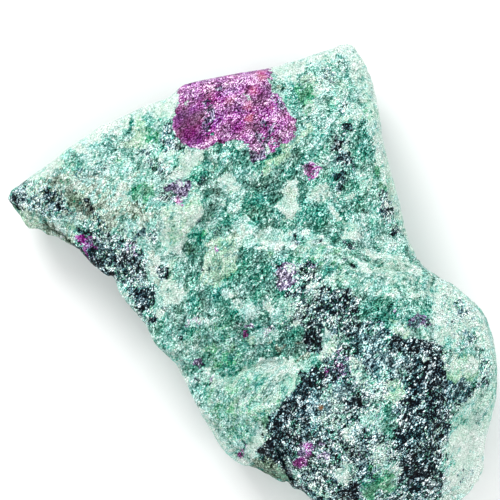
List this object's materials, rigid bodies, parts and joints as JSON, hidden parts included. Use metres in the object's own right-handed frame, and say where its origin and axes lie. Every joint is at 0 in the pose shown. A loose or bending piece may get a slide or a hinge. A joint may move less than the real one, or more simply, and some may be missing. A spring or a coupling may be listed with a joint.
{
  "type": "rough ruby in zoisite stone",
  "caption": "Rough palm-sized lump of granular green zoisite rock with a purple ruby patch and dark hornblende, lying on its broad flat back face.",
  "frame": {"origin": "middle of the lump's box in plan, at the height of the flat back face that it rests on", "axes": "+Z is out of the flat back face, through the thickness, towards the broad coloured face; +Y runs towards the square corner beside the ruby patch, +X towards the bulging lobe"},
  "size_m": [0.0976, 0.097, 0.035],
  "materials": {
    "rock": "rough, granular, broken face"
  },
  "bodies": {
    "root": {"stone": "rock"}
  },
  "joints": []
}
